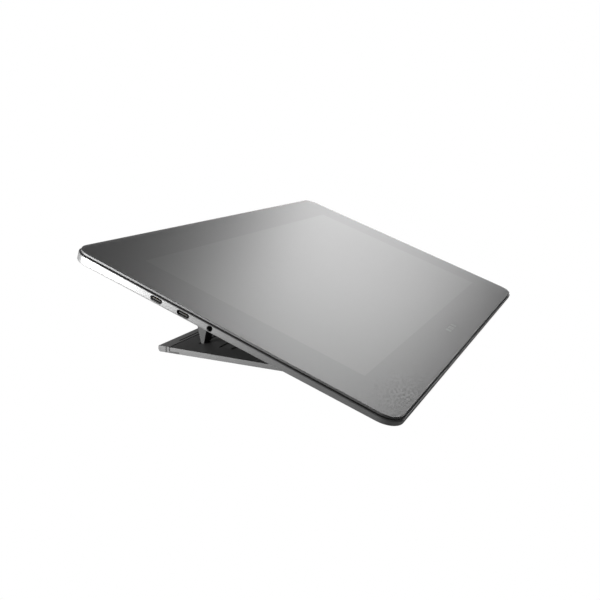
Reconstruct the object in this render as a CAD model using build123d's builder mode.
from build123d import *
from math import cos, radians, sin
import os

# Pen drawing tablet on its folding stand. +X runs along the long side to the user's right, +Y to the
# rear, +Z up. The origin is the middle of the whole object's box, on the table. Lengths are in mm.

# Driving dimensions of the tablet
WIDTH = 360.0
DEPTH = 235.0
THICK = 13.0
CORNER = 12.3
TILT = 19.83
GLASS_T = 1.3
GLASS_INSET = 1.3
GASKET_INSET = 1.5
GASKET_T = 0.7
RIM_T = 2.0
LEDGE_T = 0.6
LEDGE_W = 8.0
SHELL_T = 1.6
WALL_FRONT = 5.27
WALL_REAR = 7.885
BELLY_INSET = 30.0
BELLY_CORNER = 24.0
FLOOR_INSET = 1.0
WALL_ROUND = 1.2
RIM_EDGE = 0.3
BACK_ROUND = 3.9
ACTIVE_W = 294.0
ACTIVE_D = 166.0
FRONT_FEET_H = 6.0
GLASS_BEVEL = 0.15
ON_PLANE = 0.01

# Stack under the glass
MASK_T = 0.2
PANEL_T = 2.1
LIGHT_T = 1.8
DIGITIZER_T = 0.8
CHASSIS_T = 1.0
PANEL_BORDER = 5.0
PANEL_CORNER = 2.0
MASK_PLAY = 1.0
MASK_CORNER = 4.0
LIGHT_INSET = 6.0
STACK_CORNER = 3.0
CHASSIS_SIDE = 15.0
CHASSIS_END = 18.0
CHASSIS_CORNER = 18.0

# Screws, and the bosses they go into
SCREW_R = 1.0
HEAD_R = 1.9
HEAD_H = 0.8
HEX_SHARE = 0.45
HEX_DEPTH = 0.7
BOSS_R = 3.0
BOSS_SIDE = 4.0
BOSS_V = (-76.0, 0.0, 76.0)
BOSS_H = 2.6
BOSS_BORE = 2.2
CHASSIS_SCREW_L = 2.0
MOUNT_SCREW_R = 1.5
MOUNT_SCREW_L = 2.8
MOUNT_HEAD_R = 3.0
MOUNT_HEAD_H = 1.4
MOUNT_SCREW_U = 60.0
MOUNT_SCREW_V = (-42.5, 52.5)
MOUNT_BOSS_R = 4.5
MOUNT_BOSS_TOP = 9.2
BOSS_ROOT = 1.0

# Main board and the parts on it
BOARD_LIFT = 1.4
BOARD_T = 1.2
BOARD_W = 142.0
BOARD_D = 68.0
BOARD_V = 5.0
BOARD_CORNER = 2.0
BOARD_BORE = 2.0
BOARD_SCREW_L = 1.8
BOARD_SCREW_U = 66.0
BOARD_SCREW_V = (-24.0, 34.0)
CHIP_H = 0.8
CHIPS = ((0, 8, 16, 16), (30, 4, 12, 12), (-34, 14, 14, 10), (-30, -12, 9, 9), (40, -14, 10, 6))
SPREADER_T = 0.5
SPREADER_CORNER = 3.0
SPREADERS = ((15, 8, 54, 20), (68, 12, 60, 8))

# Ribbon from the digitizer through the chassis to the main board
RIBBON_U = -40.0
RIBBON_V = -79.0
RIBBON_END_V = -24.0
RIBBON_W = 30.0
RIBBON_T = 0.2
RIBBON_PLAY = 2.0
RIBBON_SLOT = 5.0

# Ports on the side walls: distances from the tablet's middle along its depth, and below the glass
PORT_DEPTH = 4.3
USB_W = 8.9
USB_H = 3.2
USB_L = 12.0
USB_PLAY = 0.15
PORT_CUT = 8.5
SHELL_SET = 0.5
SHELL_WALL = 0.3
TONGUE_SIDE = 1.3
TONGUE_H = 0.7
USB_FLOOR = 1.2
PORT_BOARD_T = 0.6
PORT_BOARD_W = 5.2
PORT_BOARD_L = 40.0
PORT_BOARD_SPOT = 37.0
PORT_BOARD_INSET = 12.1
PORT_RIB_STEP = 17.0
PORT_RIB_W = 3.0
PORT_RIB_D = 2.0
PORT_RIB_H = 1.3
USB_SPOTS = (47.1, 26.7)
JACK_SPOT = 6.9
JACK_R = 2.1
JACK_L = 14.0
JACK_NECK = 8.5
JACK_W = 6.4
JACK_H = 4.0
JACK_SET = 0.3
JACK_PLAY = 0.05
JACK_BORE_R = 1.8
JACK_BORE_L = 12.0
CARD_W = 26.0
CARD_H = 3.2
CARD_SPOT = 8.0
CARD_L = 13.8
CARD_SIDE = 0.8
CARD_SKIN = 0.35
CARD_FLOOR = 1.0

# Keys on the rear wall
KEY_DEPTH = 4.9
KEY_LEN = 10.0
KEY_H = 2.6
KEY_OUT = 0.6
KEY_GAP = 0.3
POWER_SPOT = 128.0
TOUCH_SPOT = 104.0
TOUCH_TRAVEL = 3.0
FLANGE_T = 1.0
FLANGE_LIP = 1.5
KEY_TRAVEL = 0.5
KEY_BOARD_T = 1.0
KEY_BOARD_W = 48.0
KEY_BOARD_SET = 5.5
KEY_RIB_SPOT = 8.0
KEY_RIB_W = 4.0
KEY_RIB_D = 2.0
KEY_RIB_H = 1.5
SWITCH_H = 2.4
POWER_SWITCH_W = 4.0
TOUCH_SWITCH_W = 8.0

# Air slots in the rear wall and the back, and the speakers with their slots
VENT_U = 20.0
VENT_STEP = 6.0
VENT_COUNT = 16
VENT_L = 2.6
VENT_W = 1.4
INLET_STEP = 3.2
INLET_COUNT = 11
INLET_L = 26.0
INLET_W = 1.6
SPEAKER_U = 112.0
SPEAKER_V = -66.0
SPEAKER_W = 36.0
SPEAKER_D = 13.0
SPEAKER_H = 3.2
SPEAKER_CORNER = 3.0
CONE_W = 28.0
CONE_D = 8.0
CONE_DEPTH = 0.6
GRILLE_STEP = 3.0
GRILLE_COUNT = 10
GRILLE_L = 8.0
GRILLE_W = 1.2

# Blower
FAN_SPOT = (122.0, 47.5)
FAN_W = 52.0
FAN_H = 3.8
ROTOR_R = 20.0
FAN_PIN_R = 1.2
FAN_PLAY = 0.05
FAN_SIDE = 2.0
FAN_CORNER = 8.0
FAN_SKIN = 0.5
FAN_SWEEP = 2.0
FAN_MOUTH_W = 36.0
FAN_MOUTH_SET = 17.0
FAN_EYE_R = 13.0
FAN_HOLE_R = 2.2
FAN_HOLE_RING = 14.0
FAN_HOLES = 12
ROTOR_GAP = 0.3
HUB_R = 8.0
BLADE_RING = 13.5
BLADE_L = 13.0
BLADE_T = 0.9
BLADE_TURN = 22.0
BLADES = 17

# Stand
MOUNT_W = 170.0
MOUNT_T = 2.2
MOUNT_FRONT = -69.5
MOUNT_REAR = 74.5
MOUNT_CORNER = 6.0
WINDOW_STEP = 56.0
WINDOW_W = 42.0
WINDOW_D = 76.0
LUG_FLARE = 2.0
LUG_SINK = 0.2
SHAFT_R = 2.5
SHAFT_PLAY = 0.05
HINGE_DEPTH = 20.0
HINGE_SPOT = -57.3
KNUCKLE_R = 4.2
KNUCKLE_W = 15.4
LUG_R = 4.5
LUG_W = 4.0
LUG_GAP = 0.3
HINGE_X = 70.0
PROP_DEPTH = 19.0
PROP_SPOT = 65.1
PROP_R = 5.0
PROP_X = 92.5
PROP_W = 10.0
TIP_TAPER = 15.5
TIP_END_R = 1.3
PROP_LUG_W = 5.0
BAR_NEAR = 10.0
BAR_FAR = 22.0
BASE_W = 234.0
BASE_GAP = 0.5
BASE_LIP = 0.7
BASE_T_FRONT = 2.95
BASE_RISE = 0.0109
SEAM_FROM_PROP = 15.4
END_BAR_L = 10.2
END_BAR_T = 4.5
SEAM = 0.4
LAP_L = 8.0
LAP_T = 1.5
NOTCH_W = 200.0
NOTCH_D = 0.6
NOTCH_L = 8.4
NOTCH_BACK = 2.2
NOTCH_STEPS = (0.0, 17.7, 27.8)
FOOT_GAP = 0.3
SLOT_W = 1.3
SLOT_D = 1.6
SLOT_FROM_REAR = 7.0
PAD_T = 1.1
PAD_W = 44.0
PAD_L = 9.0
PAD_X = 90.0
PAD_FROM_EDGE = 12.0
PAD_CORNER = 3.0
BASE_SCREW_X = (-100.0, -35.0, 35.0, 100.0)
BASE_SCREW_R = 1.25
BASE_HEAD_R = 2.1
BASE_HEAD_H = 0.7
BASE_HEX_R = 0.9
BASE_SCREW_TOP = 3.7
END_ROUND = 2.0
END_EDGE = 0.5
ARM_FOOT = 4.0
ARM_TOP = 10.0
ARM_WIDE = 0.6
ARM_DEEP = 0.8
NOTCH_CLEAR = 1.0
PROP_BAR_T = 3.0
PROP_TAPER = 0.4
SHAFT_SET = 1.0
TONGUE_T = 3.0
TONGUE_W = 6.0
TONGUE_END = 4.0

# Front feet: two rubber wedges between the front slope and the table
FOOT_W = 80.0
FOOT_X = 110.0
FOOT_FROM_EDGE = (4.5, 16.5)

SIN = sin(radians(TILT))
COS = cos(radians(TILT))
HALF_W = WIDTH / 2
HALF_D = DEPTH / 2
port_board_u = HALF_W - PORT_BOARD_INSET

# The round of the back's rim has to fit into the drop of the belly at the rear
back_round = min(BACK_ROUND, THICK - WALL_REAR - WALL_ROUND)

# The object's box reaches from the top of the front wall to the foot of the rear keys
REACH_FRONT = RIM_T * SIN
REACH_REAR = COS * (DEPTH + KEY_OUT) + SIN * (KEY_DEPTH + KEY_H / 2)
FRONT_Y = -(REACH_FRONT + REACH_REAR) / 2
TABLET = Plane(
    origin=(0, FRONT_Y + COS * HALF_D, FRONT_FEET_H + SIN * HALF_D),
    x_dir=(1, 0, 0),
    z_dir=(0, -SIN, COS),
)
OUT = Axis(TABLET.origin, TABLET.z_dir)

# Levels below the glass face
MASK_Z = -GLASS_T - MASK_T
PANEL_Z = MASK_Z - PANEL_T
LIGHT_Z = PANEL_Z - LIGHT_T
DIGITIZER_Z = LIGHT_Z - DIGITIZER_T
CHASSIS_Z = DIGITIZER_Z - CHASSIS_T
FLOOR_Z = -THICK + SHELL_T
BOARD_Z = FLOOR_Z + BOARD_LIFT
BOARD_TOP = BOARD_Z + BOARD_T
MOUNT_Z = -THICK - MOUNT_T
PORT_BOARD_Z = -PORT_DEPTH - USB_H / 2 - PORT_BOARD_T
KEY_BOARD_Z = -KEY_DEPTH - KEY_H / 2
KEY_BOARD_V = HALF_D - KEY_BOARD_SET - KEY_BOARD_T / 2
HINGE = TABLET.from_local_coords((0, HINGE_SPOT, -HINGE_DEPTH))
PROP = TABLET.from_local_coords((0, PROP_SPOT, -PROP_DEPTH))


def spot(u, v, w):
    """A point of the tablet: u to the right, v towards its rear edge, w above the glass face."""
    return TABLET.from_local_coords((u, v, w))


def across(u):
    """The tablet's cross-section plane at u: x runs towards the rear edge and y out of the glass."""
    return Plane(origin=spot(u, 0, 0), x_dir=TABLET.y_dir, z_dir=(1, 0, 0))


def wall(side, v, w):
    """A plane on the left (-1) or right (+1) wall that faces outwards."""
    return Plane(origin=spot(side * HALF_W, v, w), x_dir=TABLET.y_dir, z_dir=(side, 0, 0))


def rear_wall(u, w):
    """A plane on the rear wall that faces rearwards, with x to the right."""
    return Plane(origin=spot(u, HALF_D, w), x_dir=(1, 0, 0), z_dir=TABLET.y_dir)


def wedge(inset):
    """The slightly sloped plane where the side walls end, inset towards the glass."""
    mid = (WALL_FRONT + WALL_REAR) / 2 - inset
    fall = (WALL_REAR - WALL_FRONT) / DEPTH
    lean = TABLET.z_dir + TABLET.y_dir * fall
    return Plane(origin=spot(0, 0, -mid), x_dir=(1, 0, 0), z_dir=lean)


def save(builder, name):
    """Names a finished piece and writes it."""
    builder.part.label = name
    export_step(builder.part, f"parts/{name}.step")
    print(name, round(builder.part.volume), len(builder.part.solids()))


def plate(name, w_top, w_bottom, width, depth, radius):
    """A flat rounded plate of the stack under the glass."""
    with BuildPart() as made:
        with BuildSketch(TABLET.offset(w_bottom)):
            RectangleRounded(width, depth, radius)
        extrude(amount=w_top - w_bottom)
    save(made, name)


os.makedirs("parts", exist_ok=True)

# ---------------------------------------------------------------- glass and display
glass_w = WIDTH - 2 * GLASS_INSET
glass_d = DEPTH - 2 * GLASS_INSET
glass_corner = CORNER - GLASS_INSET
with BuildPart() as cover_glass:
    with BuildSketch(TABLET.offset(-GLASS_T)):
        RectangleRounded(glass_w, glass_d, glass_corner)
    extrude(amount=GLASS_T)
    chamfer(cover_glass.faces().sort_by(OUT)[-1].edges(), GLASS_BEVEL)
save(cover_glass, "cover_glass")

gasket_w = glass_w - 2 * GASKET_INSET
gasket_d = glass_d - 2 * GASKET_INSET
gasket_in_w = WIDTH - 2 * LEDGE_W
gasket_in_d = DEPTH - 2 * LEDGE_W
with BuildPart() as glass_gasket:
    with BuildSketch(TABLET.offset(-RIM_T)):
        RectangleRounded(gasket_w, gasket_d, glass_corner - GASKET_INSET)
        RectangleRounded(gasket_in_w, gasket_in_d, CORNER - LEDGE_W, mode=Mode.SUBTRACT)
    extrude(amount=GASKET_T)
save(glass_gasket, "glass_gasket")

stack_w = ACTIVE_W + 4 * PANEL_BORDER
stack_d = ACTIVE_D + 4 * PANEL_BORDER
with BuildPart() as border_print:
    with BuildSketch(TABLET.offset(MASK_Z)):
        RectangleRounded(gasket_in_w - MASK_PLAY, gasket_in_d - MASK_PLAY, MASK_CORNER)
        Rectangle(ACTIVE_W, ACTIVE_D, mode=Mode.SUBTRACT)
    extrude(amount=MASK_T)
save(border_print, "border_print")

with BuildPart() as display_panel:
    with BuildSketch(TABLET.offset(PANEL_Z)):
        RectangleRounded(ACTIVE_W + 2 * PANEL_BORDER, ACTIVE_D + 2 * PANEL_BORDER, PANEL_CORNER)
    extrude(amount=PANEL_T)
    with BuildSketch(TABLET.offset(MASK_Z)):
        Rectangle(ACTIVE_W, ACTIVE_D)
    extrude(amount=MASK_T)
save(display_panel, "display_panel")

light_w = stack_w - LIGHT_INSET
light_d = stack_d - LIGHT_INSET
plate("backlight_unit", PANEL_Z, LIGHT_Z, light_w, light_d, STACK_CORNER)
plate("digitizer_board", LIGHT_Z, DIGITIZER_Z, stack_w, stack_d, STACK_CORNER)

# The chassis plate carries the stack and is screwed to six bosses of the rear housing
chassis_w = WIDTH - 2 * CHASSIS_SIDE
chassis_d = DEPTH - 2 * CHASSIS_END
boss_u = chassis_w / 2 - BOSS_SIDE
boss_spots = [(side * boss_u, v) for side in (-1, 1) for v in BOSS_V]
with BuildPart() as chassis_plate:
    with BuildSketch(TABLET.offset(CHASSIS_Z)):
        RectangleRounded(chassis_w, chassis_d, CHASSIS_CORNER)
        with Locations(*boss_spots):
            Circle(SCREW_R, mode=Mode.SUBTRACT)
        with Locations((RIBBON_U, RIBBON_V)):
            SlotOverall(RIBBON_W + 2 * RIBBON_PLAY, RIBBON_SLOT, mode=Mode.SUBTRACT)
    extrude(amount=CHASSIS_T)
save(chassis_plate, "chassis_plate")

# ---------------------------------------------------------------- rear housing
inner_w = WIDTH - 2 * RIM_T
inner_d = DEPTH - 2 * RIM_T
back_w = WIDTH - 2 * BELLY_INSET
back_d = DEPTH - 2 * BELLY_INSET
mount_screws = [(side * MOUNT_SCREW_U, v) for side in (-1, 1) for v in MOUNT_SCREW_V]
board_spots = [(side * BOARD_SCREW_U, v) for side in (-1, 1) for v in BOARD_SCREW_V]
floor_w = back_w - 2 * FLOOR_INSET
floor_d = back_d - 2 * FLOOR_INSET
with BuildPart() as rear_housing:
    with BuildSketch(TABLET.offset(-RIM_T)):
        RectangleRounded(WIDTH - 2 * RIM_EDGE, DEPTH - 2 * RIM_EDGE, CORNER - RIM_EDGE)
    with BuildSketch(TABLET.offset(-RIM_T - RIM_EDGE)):
        RectangleRounded(WIDTH, DEPTH, CORNER)
    with BuildSketch(wedge(0)):
        RectangleRounded(WIDTH, DEPTH, CORNER)
    loft(ruled=True)
    with BuildSketch(wedge(0)):
        RectangleRounded(WIDTH, DEPTH, CORNER)
    with BuildSketch(TABLET.offset(-THICK)):
        RectangleRounded(back_w, back_d, BELLY_CORNER)
    loft(ruled=True)
    wall_foot = [
        edge
        for edge in rear_housing.edges()
        if abs(wedge(0).to_local_coords(edge @ 0.5).Z) < ON_PLANE
    ]
    fillet(wall_foot, WALL_ROUND)
    fillet(rear_housing.faces().sort_by(OUT)[0].edges(), back_round)
    # The hollow under the ledge that carries the glass
    with BuildSketch(TABLET.offset(-RIM_T - LEDGE_T)):
        RectangleRounded(inner_w, inner_d, CORNER - RIM_T)
    with BuildSketch(wedge(SHELL_T)):
        RectangleRounded(inner_w, inner_d, CORNER - RIM_T)
    loft(ruled=True, mode=Mode.SUBTRACT)
    with BuildSketch(wedge(SHELL_T)):
        RectangleRounded(inner_w, inner_d, CORNER - RIM_T)
    with BuildSketch(TABLET.offset(FLOOR_Z)):
        RectangleRounded(floor_w, floor_d, BELLY_CORNER - FLOOR_INSET)
    loft(ruled=True, mode=Mode.SUBTRACT)
    with BuildSketch(TABLET.offset(-RIM_T)):
        RectangleRounded(gasket_in_w, gasket_in_d, CORNER - LEDGE_W)
    extrude(amount=-LEDGE_T, mode=Mode.SUBTRACT)
    # Bosses for the chassis, the main board and the stand's screws
    with BuildSketch(TABLET.offset(-THICK + BOSS_ROOT)):
        with Locations(*mount_screws):
            Circle(MOUNT_BOSS_R)
    extrude(amount=THICK - BOSS_ROOT - MOUNT_BOSS_TOP)
    with BuildSketch(TABLET.offset(-THICK + BOSS_ROOT)):
        with Locations(*board_spots):
            Circle(BOSS_R)
    extrude(amount=BOARD_Z + THICK - BOSS_ROOT)
    with BuildSketch(TABLET.offset(CHASSIS_Z)):
        with Locations(*boss_spots):
            Circle(BOSS_R)
    extrude(amount=-BOSS_H)
    with BuildSketch(TABLET.offset(CHASSIS_Z)):
        with Locations(*boss_spots):
            Circle(SCREW_R)
    extrude(amount=-BOSS_BORE, mode=Mode.SUBTRACT)
    with BuildSketch(TABLET.offset(BOARD_Z)):
        with Locations(*board_spots):
            Circle(SCREW_R)
    extrude(amount=-BOARD_BORE, mode=Mode.SUBTRACT)
    with BuildSketch(TABLET.offset(-THICK)):
        with Locations(*mount_screws):
            Circle(MOUNT_SCREW_R)
    extrude(amount=MOUNT_SCREW_L, mode=Mode.SUBTRACT)
    # Left wall: two USB-C mouths and the audio jack. Right wall: USB-C and card slot
    for side, v in ((-1, USB_SPOTS[0]), (-1, USB_SPOTS[1]), (1, USB_SPOTS[0])):
        with BuildSketch(wall(side, v, -PORT_DEPTH)):
            SlotOverall(USB_W + 2 * USB_PLAY, USB_H + 2 * USB_PLAY)
        extrude(amount=-PORT_CUT, mode=Mode.SUBTRACT)
    with BuildSketch(wall(-1, JACK_SPOT, -PORT_DEPTH)):
        Circle(JACK_R)
    extrude(amount=-PORT_CUT, mode=Mode.SUBTRACT)
    with BuildSketch(wall(1, CARD_SPOT, -PORT_DEPTH)):
        Rectangle(CARD_W + 2 * USB_PLAY, CARD_H + 2 * USB_PLAY)
    extrude(amount=-PORT_CUT, mode=Mode.SUBTRACT)
    # Ribs under the port boards and the key board
    with BuildSketch(TABLET.offset(PORT_BOARD_Z)):
        for side in (-1, 1):
            for step in (-1, 0, 1):
                with Locations((side * port_board_u, PORT_BOARD_SPOT + step * PORT_RIB_STEP)):
                    Rectangle(PORT_RIB_W, PORT_RIB_D)
    extrude(amount=-PORT_RIB_H)
    with BuildSketch(TABLET.offset(KEY_BOARD_Z)):
        for u in (POWER_SPOT + KEY_RIB_SPOT, TOUCH_SPOT - KEY_RIB_SPOT):
            with Locations((u, KEY_BOARD_V)):
                Rectangle(KEY_RIB_W, KEY_RIB_D)
    extrude(amount=-KEY_RIB_H)
    # Rear wall: key slots and the air outlet
    with BuildSketch(rear_wall(0, -KEY_DEPTH)):
        with Locations((POWER_SPOT, 0)):
            SlotOverall(KEY_LEN + 2 * KEY_GAP, KEY_H + 2 * KEY_GAP)
        with Locations((TOUCH_SPOT, 0)):
            SlotOverall(KEY_LEN + TOUCH_TRAVEL + 2 * KEY_GAP, KEY_H + 2 * KEY_GAP)
        with Locations((VENT_U, 0)):
            with GridLocations(VENT_STEP, 1, VENT_COUNT, 1):
                SlotOverall(VENT_L, VENT_W, rotation=90)
    extrude(amount=-RIM_T - SHELL_SET, mode=Mode.SUBTRACT)
    # Air inlet under the blower, and the speaker slots near the front
    with BuildSketch(TABLET.offset(-THICK)):
        with Locations(FAN_SPOT):
            with GridLocations(INLET_STEP, 1, INLET_COUNT, 1):
                SlotOverall(INLET_L, INLET_W, rotation=90)
        for side in (-1, 1):
            with Locations((side * SPEAKER_U, SPEAKER_V)):
                with GridLocations(GRILLE_STEP, 1, GRILLE_COUNT, 1):
                    SlotOverall(GRILLE_L, GRILLE_W, rotation=90)
    extrude(amount=SHELL_T, mode=Mode.SUBTRACT)
save(rear_housing, "rear_housing")


def screws(name, plane_z, spots, radius, length, head_r, head_h, up):
    """Identical pan-head screws: the shank runs from plane_z away from the head."""
    with BuildPart() as made:
        with BuildSketch(TABLET.offset(plane_z)):
            with Locations(*spots):
                Circle(radius)
        extrude(amount=-up * length)
        with BuildSketch(TABLET.offset(plane_z)):
            with Locations(*spots):
                Circle(head_r)
        extrude(amount=up * head_h)
        with BuildSketch(TABLET.offset(plane_z + up * head_h)):
            with Locations(*spots):
                RegularPolygon(head_r * HEX_SHARE, 6)
        extrude(amount=-up * head_h * HEX_DEPTH, mode=Mode.SUBTRACT)
    save(made, name)


chassis_screw_l = CHASSIS_T + CHASSIS_SCREW_L
screws("chassis_screws", DIGITIZER_Z, boss_spots, SCREW_R, chassis_screw_l, HEAD_R, HEAD_H, 1)

# ---------------------------------------------------------------- electronics
with BuildPart() as main_board:
    with BuildSketch(TABLET.offset(BOARD_Z)):
        with Locations((0, BOARD_V)):
            RectangleRounded(BOARD_W, BOARD_D, BOARD_CORNER)
        with Locations(*board_spots):
            Circle(SCREW_R, mode=Mode.SUBTRACT)
    extrude(amount=BOARD_T)
    with BuildSketch(TABLET.offset(BOARD_TOP)):
        for u, v, chip_w, chip_d in CHIPS:
            with Locations((u, v)):
                Rectangle(chip_w, chip_d)
    extrude(amount=CHIP_H)
save(main_board, "main_board")
board_screw_l = BOARD_T + BOARD_SCREW_L
screws("board_screws", BOARD_TOP, board_spots, SCREW_R, board_screw_l, HEAD_R, HEAD_H, 1)

with BuildPart() as heat_spreader:
    with BuildSketch(TABLET.offset(BOARD_TOP + CHIP_H)):
        for u, v, strip_w, strip_d in SPREADERS:
            with Locations((u, v)):
                RectangleRounded(strip_w, strip_d, SPREADER_CORNER)
    extrude(amount=SPREADER_T)
save(heat_spreader, "heat_spreader")

fan_top = FLOOR_Z + FAN_H
with BuildPart() as blower_housing:
    with BuildSketch(TABLET.offset(FLOOR_Z)):
        with Locations(FAN_SPOT):
            RectangleRounded(FAN_W, FAN_W - 2 * FAN_SIDE, FAN_CORNER)
    extrude(amount=FAN_H)
    with BuildSketch(TABLET.offset(FLOOR_Z + FAN_SKIN)):
        with Locations(FAN_SPOT):
            Circle(ROTOR_R + FAN_SWEEP)
        with Locations((FAN_SPOT[0], FAN_SPOT[1] + FAN_MOUTH_SET)):
            Rectangle(FAN_MOUTH_W, FAN_W / 2)
    extrude(amount=FAN_H - 2 * FAN_SKIN, mode=Mode.SUBTRACT)
    with BuildSketch(TABLET.offset(fan_top)):
        with Locations(FAN_SPOT):
            Circle(FAN_EYE_R)
    extrude(amount=-FAN_SKIN, mode=Mode.SUBTRACT)
    with BuildSketch(TABLET.offset(FLOOR_Z)):
        with Locations(FAN_SPOT):
            with PolarLocations(FAN_HOLE_RING, FAN_HOLES):
                Circle(FAN_HOLE_R)
    extrude(amount=FAN_SKIN, mode=Mode.SUBTRACT)
    with BuildSketch(TABLET.offset(FLOOR_Z)):
        with Locations(FAN_SPOT):
            Circle(FAN_PIN_R)
    extrude(amount=FAN_H - FAN_SKIN - ROTOR_GAP)
save(blower_housing, "blower_housing")

rotor_z = FLOOR_Z + FAN_SKIN + ROTOR_GAP
rotor_h = FAN_H - 2 * FAN_SKIN - 2 * ROTOR_GAP
with BuildPart() as blower_rotor:
    with BuildSketch(TABLET.offset(rotor_z)):
        with Locations(FAN_SPOT):
            Circle(HUB_R)
            with PolarLocations(BLADE_RING, BLADES):
                Rectangle(BLADE_L, BLADE_T, rotation=BLADE_TURN)
            Circle(FAN_PIN_R + FAN_PLAY, mode=Mode.SUBTRACT)
    extrude(amount=rotor_h)
save(blower_rotor, "blower_rotor")

# Sockets, each with a hollow mouth; the left three and the right two sit on small boards
with BuildPart() as usb_sockets:
    for side, v in ((-1, USB_SPOTS[0]), (-1, USB_SPOTS[1]), (1, USB_SPOTS[0])):
        with BuildSketch(wall(side, v, -PORT_DEPTH).offset(-SHELL_SET)):
            SlotOverall(USB_W, USB_H)
        extrude(amount=-USB_L)
        with BuildSketch(wall(side, v, -PORT_DEPTH).offset(-SHELL_SET)):
            SlotOverall(USB_W - 2 * SHELL_WALL, USB_H - 2 * SHELL_WALL)
            Rectangle(USB_W - 2 * TONGUE_SIDE, TONGUE_H, mode=Mode.SUBTRACT)
        extrude(amount=-USB_L + USB_FLOOR, mode=Mode.SUBTRACT)
save(usb_sockets, "usb_sockets")

with BuildPart() as audio_jack:
    with BuildSketch(wall(-1, JACK_SPOT, -PORT_DEPTH).offset(-JACK_SET)):
        Circle(JACK_R - JACK_PLAY)
    extrude(amount=-JACK_NECK)
    with BuildSketch(wall(-1, JACK_SPOT, -PORT_DEPTH).offset(-JACK_NECK)):
        Rectangle(JACK_W, JACK_H)
    extrude(amount=-JACK_L + JACK_NECK)
    with BuildSketch(wall(-1, JACK_SPOT, -PORT_DEPTH).offset(-JACK_SET)):
        Circle(JACK_BORE_R)
    extrude(amount=-JACK_BORE_L, mode=Mode.SUBTRACT)
save(audio_jack, "audio_jack")

with BuildPart() as card_slot:
    with BuildSketch(wall(1, CARD_SPOT, -PORT_DEPTH).offset(-SHELL_SET)):
        Rectangle(CARD_W, CARD_H)
    extrude(amount=-CARD_L)
    with BuildSketch(wall(1, CARD_SPOT, -PORT_DEPTH).offset(-SHELL_SET)):
        Rectangle(CARD_W - 2 * CARD_SIDE, CARD_H - 2 * CARD_SKIN)
    extrude(amount=-CARD_L + CARD_FLOOR, mode=Mode.SUBTRACT)
save(card_slot, "card_slot")


def port_board(name, side):
    """The small board under the sockets of one side wall."""
    with BuildPart() as made:
        with BuildSketch(TABLET.offset(PORT_BOARD_Z)):
            with Locations((side * port_board_u, PORT_BOARD_SPOT)):
                Rectangle(PORT_BOARD_W, PORT_BOARD_L)
        extrude(amount=PORT_BOARD_T)
    save(made, name)


port_board("port_board_left", -1)
port_board("port_board_right", 1)

# A flat ribbon from the digitizer, through the chassis and onto the main board
with BuildPart() as ribbon_cable:
    with BuildSketch(across(RIBBON_U - RIBBON_W / 2)):
        with BuildLine():
            Polyline(
                (RIBBON_V, DIGITIZER_Z),
                (RIBBON_V, BOARD_TOP),
                (RIBBON_END_V, BOARD_TOP),
                (RIBBON_END_V, BOARD_TOP + RIBBON_T),
                (RIBBON_V + RIBBON_T, BOARD_TOP + RIBBON_T),
                (RIBBON_V + RIBBON_T, DIGITIZER_Z),
                close=True,
            )
        make_face()
    extrude(amount=RIBBON_W)
save(ribbon_cable, "ribbon_cable")

with BuildPart() as speakers:
    with BuildSketch(TABLET.offset(FLOOR_Z)):
        for side in (-1, 1):
            with Locations((side * SPEAKER_U, SPEAKER_V)):
                RectangleRounded(SPEAKER_W, SPEAKER_D, SPEAKER_CORNER)
    extrude(amount=SPEAKER_H)
    with BuildSketch(TABLET.offset(FLOOR_Z)):
        for side in (-1, 1):
            with Locations((side * SPEAKER_U, SPEAKER_V)):
                SlotOverall(CONE_W, CONE_D)
    extrude(amount=CONE_DEPTH, mode=Mode.SUBTRACT)
save(speakers, "speakers")


# ---------------------------------------------------------------- keys on the rear wall
def key(name, u, flange_w):
    """A key cap that stands out of the rear wall, with a flange behind the wall."""
    inner_face = -RIM_T - KEY_GAP
    with BuildPart() as made:
        with BuildSketch(rear_wall(u, -KEY_DEPTH).offset(KEY_OUT)):
            SlotOverall(KEY_LEN, KEY_H)
        extrude(amount=inner_face - KEY_OUT)
        with BuildSketch(rear_wall(u, -KEY_DEPTH).offset(inner_face)):
            Rectangle(flange_w, KEY_H)
        extrude(amount=-FLANGE_T)
    save(made, name)


key("power_button", POWER_SPOT, KEY_LEN + 2 * FLANGE_LIP)
touch_rest = TOUCH_SPOT - TOUCH_TRAVEL / 2
key("touch_switch", touch_rest, KEY_LEN + TOUCH_TRAVEL + 2 * FLANGE_LIP)

key_face = -RIM_T - KEY_GAP - FLANGE_T
with BuildPart() as key_board:
    with BuildSketch(rear_wall((POWER_SPOT + TOUCH_SPOT) / 2, -KEY_DEPTH).offset(-KEY_BOARD_SET)):
        Rectangle(KEY_BOARD_W, KEY_H)
    extrude(amount=-KEY_BOARD_T)
    with BuildSketch(rear_wall(POWER_SPOT, -KEY_DEPTH).offset(-KEY_BOARD_SET)):
        Rectangle(POWER_SWITCH_W, SWITCH_H)
    extrude(amount=KEY_BOARD_SET + key_face - KEY_TRAVEL - KEY_GAP)
    with BuildSketch(rear_wall(TOUCH_SPOT, -KEY_DEPTH).offset(-KEY_BOARD_SET)):
        Rectangle(TOUCH_SWITCH_W, SWITCH_H)
    extrude(amount=KEY_BOARD_SET + key_face - KEY_GAP)
save(key_board, "key_board")


# ---------------------------------------------------------------- front feet
def slope_z(v):
    """Height of the housing's front slope above the table at v."""
    fall = (THICK - WALL_FRONT) * (v + HALF_D) / BELLY_INSET
    return spot(0, v, -WALL_FRONT - fall)


near, far = (slope_z(inset - HALF_D) for inset in FOOT_FROM_EDGE)
with BuildPart() as front_feet:
    for side in (-1, 1):
        with BuildSketch(Plane.YZ.offset(side * FOOT_X - FOOT_W / 2)):
            with BuildLine():
                Polyline(
                    (near.Y, 0),
                    (far.Y, 0),
                    (far.Y, far.Z),
                    (near.Y, near.Z),
                    close=True,
                )
            make_face()
        extrude(amount=FOOT_W)
save(front_feet, "front_feet")

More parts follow.
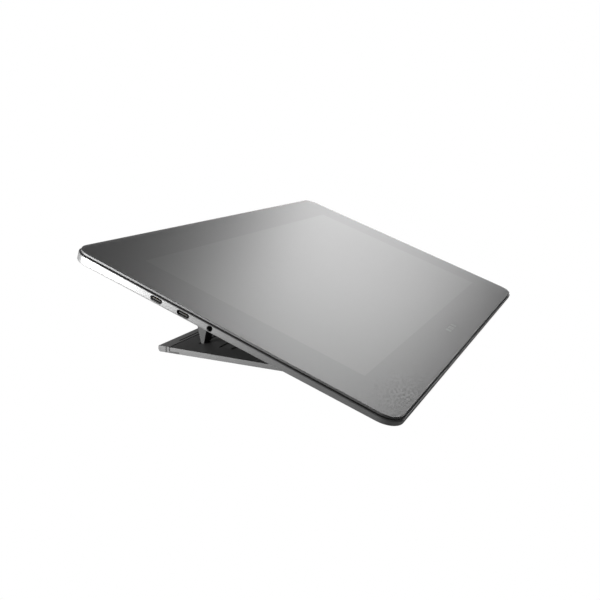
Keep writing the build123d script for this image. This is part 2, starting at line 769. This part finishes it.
# ---------------------------------------------------------------- mount plate, pins and shaft
lug_step = KNUCKLE_W / 2 + LUG_GAP + LUG_W / 2
hinge_lugs = [side * HINGE_X + way * lug_step for side in (-1, 1) for way in (-1, 1)]
prop_lugs = [-(MOUNT_W - PROP_LUG_W) / 2, 0, (MOUNT_W - PROP_LUG_W) / 2]
lugs = [(u, LUG_W, HINGE_SPOT, -HINGE_DEPTH, LUG_R) for u in hinge_lugs]
lugs += [(u, PROP_LUG_W, PROP_SPOT, -PROP_DEPTH, PROP_R) for u in prop_lugs]

with BuildPart() as mount_plate:
    with BuildSketch(TABLET.offset(MOUNT_Z)):
        with Locations((0, (MOUNT_FRONT + MOUNT_REAR) / 2)):
            RectangleRounded(MOUNT_W, MOUNT_REAR - MOUNT_FRONT, MOUNT_CORNER)
            with GridLocations(WINDOW_STEP, 1, 2, 1):
                RectangleRounded(WINDOW_W, WINDOW_D, MOUNT_CORNER, mode=Mode.SUBTRACT)
        with Locations(*mount_screws):
            Circle(MOUNT_SCREW_R, mode=Mode.SUBTRACT)
    extrude(amount=MOUNT_T)
    for u, width, v, w, radius in lugs:
        with BuildSketch(across(u - width / 2)):
            with BuildLine():
                Polyline(
                    (v - radius - LUG_FLARE, MOUNT_Z + LUG_SINK),
                    (v - radius, w),
                    (v + radius, w),
                    (v + radius + LUG_FLARE, MOUNT_Z + LUG_SINK),
                    close=True,
                )
            make_face()
            with Locations((v, w)):
                Circle(radius)
        extrude(amount=width)
        with BuildSketch(across(u - width / 2)):
            with Locations((v, w)):
                Circle(SHAFT_R)
        extrude(amount=width, mode=Mode.SUBTRACT)
save(mount_plate, "mount_plate")
mount_screw_l = MOUNT_T + MOUNT_SCREW_L
screws(
    "mount_screws",
    MOUNT_Z,
    mount_screws,
    MOUNT_SCREW_R,
    mount_screw_l,
    MOUNT_HEAD_R,
    MOUNT_HEAD_H,
    -1,
)

pin_l = KNUCKLE_W + 2 * (LUG_GAP + LUG_W)
with BuildPart() as hinge_pins:
    for side in (-1, 1):
        with BuildSketch(Plane.YZ.offset(side * HINGE_X - pin_l / 2)):
            with Locations((HINGE.Y, HINGE.Z)):
                Circle(SHAFT_R)
        extrude(amount=pin_l)
save(hinge_pins, "hinge_pins")

prop_half = PROP_X + PROP_W / 2
with BuildPart() as prop_shaft:
    with BuildSketch(Plane.YZ.offset(-prop_half + SHAFT_SET)):
        with Locations((PROP.Y, PROP.Z)):
            Circle(SHAFT_R)
    extrude(amount=2 * (prop_half - SHAFT_SET))
save(prop_shaft, "prop_shaft")

# ---------------------------------------------------------------- base of the stand
base_front_y = HINGE.Y + LUG_R + BASE_LIP
seam_y = PROP.Y + SEAM_FROM_PROP
base_rear_y = seam_y + END_BAR_L
lap_z = BASE_GAP + LAP_T
base_screw_spots = [(x, seam_y - LAP_L / 2) for x in BASE_SCREW_X]
pad_rows = (base_front_y + PAD_FROM_EDGE, seam_y - LAP_L - PAD_FROM_EDGE)
pad_spots = [(side * PAD_X, y) for side in (-1, 1) for y in pad_rows]


def top_z(y):
    """Height of the base plate's top face at y."""
    return BASE_GAP + BASE_T_FRONT + BASE_RISE * (y - base_front_y)


with BuildPart() as base_plate:
    with BuildSketch(Plane.YZ.offset(-BASE_W / 2)):
        with BuildLine():
            Polyline(
                (base_front_y, BASE_GAP),
                (seam_y - LAP_L, BASE_GAP),
                (seam_y - LAP_L, lap_z),
                (seam_y, lap_z),
                (seam_y, top_z(seam_y)),
                (base_front_y, top_z(base_front_y)),
                close=True,
            )
        make_face()
    extrude(amount=BASE_W)
    # Knuckle arms reach up to the two hinge pins
    for side in (-1, 1):
        with BuildSketch(Plane.YZ.offset(side * HINGE_X - KNUCKLE_W / 2)):
            with BuildLine():
                Polyline(
                    (HINGE.Y - KNUCKLE_R * ARM_WIDE, HINGE.Z - KNUCKLE_R * ARM_DEEP),
                    (base_front_y + ARM_FOOT, BASE_GAP),
                    (base_front_y + ARM_TOP, top_z(base_front_y + ARM_TOP)),
                    (HINGE.Y + KNUCKLE_R * ARM_WIDE, HINGE.Z + KNUCKLE_R * ARM_DEEP),
                    close=True,
                )
            make_face()
            with Locations((HINGE.Y, HINGE.Z)):
                Circle(KNUCKLE_R)
        extrude(amount=KNUCKLE_W)
        with BuildSketch(Plane.YZ.offset(side * HINGE_X - KNUCKLE_W / 2)):
            with Locations((HINGE.Y, HINGE.Z)):
                Circle(SHAFT_R + SHAFT_PLAY)
        extrude(amount=KNUCKLE_W, mode=Mode.SUBTRACT)
    # Three shallow steps for the prop, each with its upright side to the rear
    for step in NOTCH_STEPS:
        riser = PROP.Y + NOTCH_BACK - step
        with BuildSketch(Plane.YZ.offset(-NOTCH_W / 2)):
            with BuildLine():
                Polyline(
                    (riser, top_z(riser) + NOTCH_CLEAR),
                    (riser, top_z(riser) - NOTCH_D),
                    (riser - NOTCH_L, top_z(riser - NOTCH_L)),
                    (riser - NOTCH_L, top_z(riser) + NOTCH_CLEAR),
                    close=True,
                )
            make_face()
        extrude(amount=NOTCH_W, mode=Mode.SUBTRACT)
    with BuildSketch(Plane.XY.offset(BASE_GAP)):
        with Locations(*pad_spots):
            RectangleRounded(PAD_W, PAD_L, PAD_CORNER)
    extrude(amount=PAD_T - BASE_GAP, mode=Mode.SUBTRACT)
    with BuildSketch(Plane.XY.offset(lap_z)):
        with Locations(*base_screw_spots):
            Circle(BASE_SCREW_R)
    extrude(amount=BASE_SCREW_TOP - lap_z, mode=Mode.SUBTRACT)
save(base_plate, "base_plate")

slot_y = base_rear_y - SLOT_FROM_REAR
with BuildPart() as base_end_bar:
    with BuildSketch(Plane.YZ.offset(-BASE_W / 2)):
        with BuildLine():
            Polyline(
                (seam_y - LAP_L, BASE_GAP),
                (base_rear_y, BASE_GAP),
                (base_rear_y, BASE_GAP + END_BAR_T),
                (seam_y + SEAM, BASE_GAP + END_BAR_T),
                (seam_y + SEAM, lap_z),
                (seam_y - LAP_L, lap_z),
                close=True,
            )
        make_face()
    extrude(amount=BASE_W)
    rear_edges = base_end_bar.faces().sort_by(Axis.Y)[-1].edges().filter_by(Axis.X)
    fillet(rear_edges.sort_by(Axis.Z)[0], END_ROUND)
    fillet(rear_edges.sort_by(Axis.Z)[-1], END_EDGE)
    with BuildSketch(Plane.YZ.offset(-NOTCH_W / 2)):
        with Locations((slot_y, BASE_GAP + END_BAR_T - SLOT_D / 2)):
            Rectangle(SLOT_W, SLOT_D)
    extrude(amount=NOTCH_W, mode=Mode.SUBTRACT)
    with BuildSketch(Plane.XY.offset(BASE_GAP)):
        with Locations(*base_screw_spots):
            Circle(BASE_SCREW_R)
    extrude(amount=LAP_T, mode=Mode.SUBTRACT)
    with BuildSketch(Plane.XY.offset(BASE_GAP)):
        with Locations(*base_screw_spots):
            Circle(BASE_HEAD_R)
    extrude(amount=BASE_HEAD_H, mode=Mode.SUBTRACT)
save(base_end_bar, "base_end_bar")

with BuildPart() as base_screws:
    with BuildSketch(Plane.XY.offset(BASE_GAP)):
        with Locations(*base_screw_spots):
            Circle(BASE_SCREW_R)
    extrude(amount=BASE_SCREW_TOP - BASE_GAP)
    with BuildSketch(Plane.XY.offset(BASE_GAP)):
        with Locations(*base_screw_spots):
            Circle(BASE_HEAD_R)
    extrude(amount=BASE_HEAD_H)
    with BuildSketch(Plane.XY.offset(BASE_GAP)):
        with Locations(*base_screw_spots):
            RegularPolygon(BASE_HEX_R, 6)
    extrude(amount=BASE_HEX_R, mode=Mode.SUBTRACT)
save(base_screws, "base_screws")

with BuildPart() as base_pads:
    with BuildSketch(Plane.XY):
        with Locations(*pad_spots):
            RectangleRounded(PAD_W, PAD_L, PAD_CORNER)
    extrude(amount=PAD_T)
save(base_pads, "base_pads")

# ---------------------------------------------------------------- prop
foot_z = top_z(PROP.Y) - NOTCH_D + FOOT_GAP
shank_z = foot_z + TIP_TAPER
shank_half = PROP_R - PROP_TAPER
with BuildPart() as prop_frame:
    for side in (-1, 1):
        with BuildSketch(Plane.YZ.offset(side * PROP_X - PROP_W / 2)):
            with BuildLine():
                Polyline(
                    (PROP.Y - PROP_R, PROP.Z),
                    (PROP.Y - shank_half, shank_z),
                    (PROP.Y + shank_half, shank_z),
                    (PROP.Y + PROP_R, PROP.Z),
                    close=True,
                )
            make_face()
            with Locations((PROP.Y, PROP.Z)):
                Circle(PROP_R)
        extrude(amount=PROP_W)
        with BuildSketch(Plane.YZ.offset(side * PROP_X - TONGUE_W / 2)):
            with Locations((PROP.Y, (shank_z + foot_z + TONGUE_END) / 2)):
                Rectangle(TONGUE_T, shank_z - foot_z - TONGUE_END)
        extrude(amount=TONGUE_W)
        # An eye that reaches inwards to the mount plate's outer lug
        eye_w = PROP_X - PROP_W / 2 - MOUNT_W / 2 - LUG_GAP
        eye_x = side * (PROP_X - PROP_W / 2 - eye_w / 2)
        with BuildSketch(Plane.YZ.offset(eye_x - eye_w / 2)):
            with Locations((PROP.Y, PROP.Z)):
                Circle(PROP_R)
        extrude(amount=eye_w)
    with BuildSketch(Plane.YZ.offset(-PROP_X)):
        with Locations((PROP.Y, PROP.Z - (BAR_NEAR + BAR_FAR) / 2)):
            Rectangle(PROP_BAR_T, BAR_FAR - BAR_NEAR)
    extrude(amount=2 * PROP_X)
    with BuildSketch(Plane.YZ.offset(-prop_half)):
        with Locations((PROP.Y, PROP.Z)):
            Circle(SHAFT_R + SHAFT_PLAY)
    extrude(amount=2 * prop_half, mode=Mode.SUBTRACT)
save(prop_frame, "prop_frame")

with BuildPart() as prop_tips:
    for side in (-1, 1):
        with BuildSketch(Plane.YZ.offset(side * PROP_X - PROP_W / 2)):
            with BuildLine():
                Polyline(
                    (PROP.Y - TIP_END_R, foot_z + TIP_END_R),
                    (PROP.Y - shank_half, shank_z),
                    (PROP.Y + shank_half, shank_z),
                    (PROP.Y + TIP_END_R, foot_z + TIP_END_R),
                )
                ThreePointArc(
                    (PROP.Y + TIP_END_R, foot_z + TIP_END_R),
                    (PROP.Y, foot_z),
                    (PROP.Y - TIP_END_R, foot_z + TIP_END_R),
                )
            make_face()
        extrude(amount=PROP_W)
        with BuildSketch(Plane.YZ.offset(side * PROP_X - TONGUE_W / 2)):
            with Locations((PROP.Y, (shank_z + foot_z + TONGUE_END) / 2)):
                Rectangle(TONGUE_T, shank_z - foot_z - TONGUE_END)
        extrude(amount=TONGUE_W, mode=Mode.SUBTRACT)
save(prop_tips, "prop_tips")
